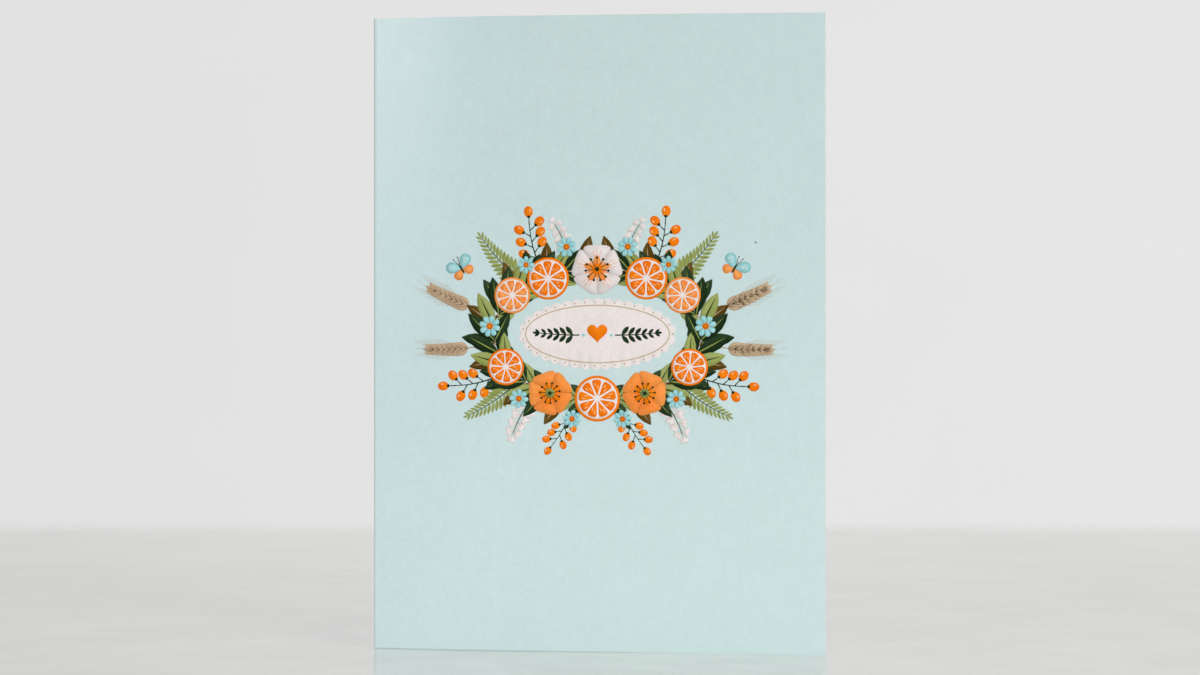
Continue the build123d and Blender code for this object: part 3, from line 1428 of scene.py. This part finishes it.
def speck_tree(_sizes):
    """Tree: a grain of dirt that was printed in."""
    inputs = {"Width": 0.75 * MM, "Height": 0.45 * MM}
    art = Print("Printing speck", inputs, ("Speck",))
    width, height = art.sizes
    grain = art.film(art.disc(width, height, points=9), 1)
    art.lay(art.repeat(art.given["Places"], grain, art.stored("angle")), "Speck")
    return art.close()


class CARD_OT_speck(bpy.types.Operator):
    """Prints the speck of dirt at the upper right"""

    bl_idname = "greeting_card.speck"
    bl_label = "Printing Speck"

    def execute(self, context):
        return print_motif("print_speck", speck_tree, SPECK)


def surface_material(stage):
    """The smooth pale surface, which mirrors a little at a low angle and fades at its far edge.

    It is palest round the card, where most of the light falls in the photograph.
    """
    material, nodes = open_material("Pale surface")
    x, y, _ = nodes.split(nodes.place())

    # Faint clouds, with painted light that makes it a little lighter to the right and to the front
    colour, variation = stage.surface_colour, 0.15
    clouds = mottling(nodes, 50 * MM, 3.0) * 0.5 + mottling(nodes, 14 * MM, 3.0) * 0.2
    share = 0.5 + clouds + x * 0.2 - y * 0.15
    seen = nodes.mix(share, scaled(colour, 1 - variation), scaled(colour, 1 + variation))

    # Painted pool of light: it dims with the square of the distance from the card, soonest to the
    # sides
    sideways, in_depth, dimmest = 26.0, 0.9, [0.88, 0.88, 0.88, 1.0]
    away = x * x * sideways + y * y * in_depth
    seen = nodes.mix(away, seen, dimmest, "MULTIPLY")

    path = nodes.shader("LightPath")
    bounce = [*stage.bounce_colour, 1.0]
    shader = nodes.shader(
        "BsdfPrincipled",
        Base_Color=nodes.mix(path.also("Is Diffuse Ray"), seen, bounce),
        Roughness=0.05 + mottling(nodes, 4 * MM, 4.0) * 0.02,
        IOR=1.4,
        Emission_Color=seen,
        Emission_Strength=path * stage.surface_glow / max(colour),
    )
    clear = nodes.shader("BsdfTransparent")
    fade = nodes.attribute("fade")
    smooth_fade = fade * fade * (3.0 - fade * 2.0)
    faded = nodes.shader("MixShader", {0: smooth_fade, 1: shader, 2: clear})
    nodes.shader("OutputMaterial", Surface=faded)
    return material


def add_camera(stage, fold, away, right):
    """The camera, which looks along away. Its distance is measured from the fold."""
    camera = add_object("Camera", bpy.data.cameras.new("Camera"))
    camera.data.lens = stage.lens
    camera.data.clip_start = 10 * MM
    camera.location = fold - away * stage.camera_distance + right * stage.spine_offset
    camera.location.z = stage.camera_height
    camera.rotation_euler = (pi / 2 - stage.camera_tilt, 0, -stage.camera_turn)
    bpy.context.scene.camera = camera


def add_surface(stage, fold, away, right):
    """The surface, whose far edge shows behind the card."""
    reach, depth = stage.surface_reach, stage.surface_depth
    clear_row = depth + stage.surface_fade
    rows = ((-reach, 0.0), (depth, 0.0), (clear_row, 1.0))
    corners = [fold + right * x + away * y for y, _ in rows for x in (-reach, reach)]
    mesh = bpy.data.meshes.new("surface")
    mesh.from_pydata(corners, [], [(0, 1, 3, 2), (2, 3, 5, 4)])
    fades = [fade for _, fade in rows for _ in (-reach, reach)]
    mesh.attributes.new("fade", "FLOAT", "POINT").data.foreach_set("value", fades)
    surface = add_object("surface", mesh)
    mesh.materials.append(surface_material(stage))
    return surface


def add_backdrop(stage):
    """The light from all round, and the backdrop that the camera and reflections see instead."""
    world = bpy.data.worlds.new("Soft studio")
    bpy.context.scene.world = world
    world.use_nodes = True
    world.node_tree.nodes.clear()
    nodes = Nodes(world.node_tree)
    path = nodes.shader("LightPath")
    seen = path + path.also("Is Glossy Ray") + path.also("Is Transmission Ray")
    heading = nodes.shader("TexCoord")
    cloud = nodes.shader("TexNoise", Vector=heading, Scale=14.0, Detail=4.0)
    x, _, _ = nodes.split(heading)

    # Faint clouds from its left colour to its right one
    share = cloud * 0.6 + (x - sin(stage.camera_turn)) * 2.5 + 0.2
    shown = nodes.mix(share, [*stage.backdrop_left, 1], [*stage.backdrop_right, 1])
    light = [stage.world_level] * 3 + [1.0]
    background = nodes.shader("Background", Color=nodes.mix(seen, light, shown), Strength=1.0)
    nodes.shader("OutputWorld", Surface=background)


def add_lamp(name, place, aim, width, height, power):
    """Adds a soft rectangular lamp, which the camera doesn't see, and gives its object."""
    lamp = bpy.data.lights.new(name, "AREA")
    lamp.shape = "RECTANGLE"
    lamp.size, lamp.size_y = width, height
    lamp.energy = power
    lamp_object = add_object(name, lamp)
    lamp_object.location = place
    lamp_object.rotation_euler = (aim - place).to_track_quat("-Z", "Y").to_euler()
    lamp_object.visible_camera = False
    return lamp_object


def add_lamps(stage, card, surface):
    """Soft lamps that nothing mirrors, and a second left one that only the card mirrors.

    Those that would mark the surface in views from other sides light all but the surface.
    """
    card_alone = bpy.data.collections.new("Everything but the surface")
    card_alone.objects.link(surface)
    card_alone.collection_objects[0].light_linking.link_state = "EXCLUDE"
    rise, height = stage.softbox_rise, stage.softbox_height
    for name, turned, width, power in (
        ("Left softbox", -stage.left_turn, stage.left_width, stage.left_power),
        ("Right softbox", stage.right_turn, stage.right_width, stage.right_power),
        ("Left sheen", -stage.left_turn, stage.left_width, stage.sheen_power),
        ("Back softbox", pi - stage.back_turn, stage.back_width, stage.back_power),
    ):
        heading = Vector((sin(turned) * cos(rise), -cos(turned) * cos(rise), sin(rise)))
        place = heading * stage.softbox_distance
        lamp = add_lamp(name, place, Vector(), width, height, power)
        lamp.visible_glossy = name == "Left sheen"
        lamp.visible_diffuse = name != "Left sheen"
        if name in ("Left sheen", "Back softbox"):
            lamp.light_linking.receiver_collection = card_alone

    # The low lamp in front stands just over the surface
    outward = Vector((-sin(card.opening / 2), -cos(card.opening / 2), 0))
    width, height = stage.fill_width, stage.fill_height
    middle = Vector((0, cad_low.y / 2, height * 0.6))
    place = middle + outward * stage.fill_distance
    fill = add_lamp("Low fill", place, middle, width, height, stage.fill_power)
    fill.data.spread = stage.fill_spread
    fill.visible_glossy = False
    fill.light_linking.receiver_collection = card_alone


class CARD_OT_stage(bpy.types.Operator):
    """Sets up the pale surface, the backdrop, the soft light and the camera"""

    bl_idname = "greeting_card.stage"
    bl_label = "Surface, Light and Camera"

    def execute(self, context):
        stage, card = context.scene.stage_settings, context.scene.card_sizes
        fold = Vector((cad_low.x + card.fold_radius + card.thickness, 0, 0))
        away = Vector((sin(stage.camera_turn), cos(stage.camera_turn), 0))
        right = Vector((away.y, -away.x, 0))
        add_camera(stage, fold, away, right)
        surface = add_surface(stage, fold, away, right)
        add_backdrop(stage)
        add_lamps(stage, card, surface)
        context.scene.view_settings.view_transform = "Standard"
        return {"FINISHED"}


OPERATORS = (
    CARD_OT_sheet,
    CARD_OT_vines,
    CARD_OT_leaves,
    CARD_OT_fronds,
    CARD_OT_wheat,
    CARD_OT_kumquats,
    CARD_OT_hearts,
    CARD_OT_slices,
    CARD_OT_blossoms,
    CARD_OT_daisies,
    CARD_OT_butterflies,
    CARD_OT_plaque,
    CARD_OT_speck,
    CARD_OT_stage,
)
SETTINGS = {
    CardSizes: "card_sizes",
    PrintSizes: "print_sizes",
    CardColours: "card_colours",
    StageSettings: "stage_settings",
}


class CARD_PT_panel(bpy.types.Panel):
    """The greeting card's pieces, in the order in which they are made, and its settings"""

    bl_idname = "CARD_PT_panel"
    bl_label = "Greeting Card"
    bl_space_type = "VIEW_3D"
    bl_region_type = "UI"
    bl_category = "Greeting Card"

    def draw(self, context):
        for operator in OPERATORS:
            self.layout.operator(operator.bl_idname)
        for settings, place in SETTINGS.items():
            box = self.layout.box()
            for name in settings.__annotations__:
                box.prop(getattr(context.scene, place), name)


def register():
    for settings, place in SETTINGS.items():
        bpy.utils.register_class(settings)
        setattr(bpy.types.Scene, place, bpy.props.PointerProperty(type=settings))
    for cls in (*OPERATORS, CARD_PT_panel):
        bpy.utils.register_class(cls)


def unregister():
    for cls in (CARD_PT_panel, *reversed(OPERATORS)):
        bpy.utils.unregister_class(cls)
    for settings, place in SETTINGS.items():
        delattr(bpy.types.Scene, place)
        bpy.utils.unregister_class(settings)


def main():
    register()
    for operator in OPERATORS:
        group, name = operator.bl_idname.split(".")
        getattr(getattr(bpy.ops, group), name)()
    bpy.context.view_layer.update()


if __name__ == "__main__":
    main()
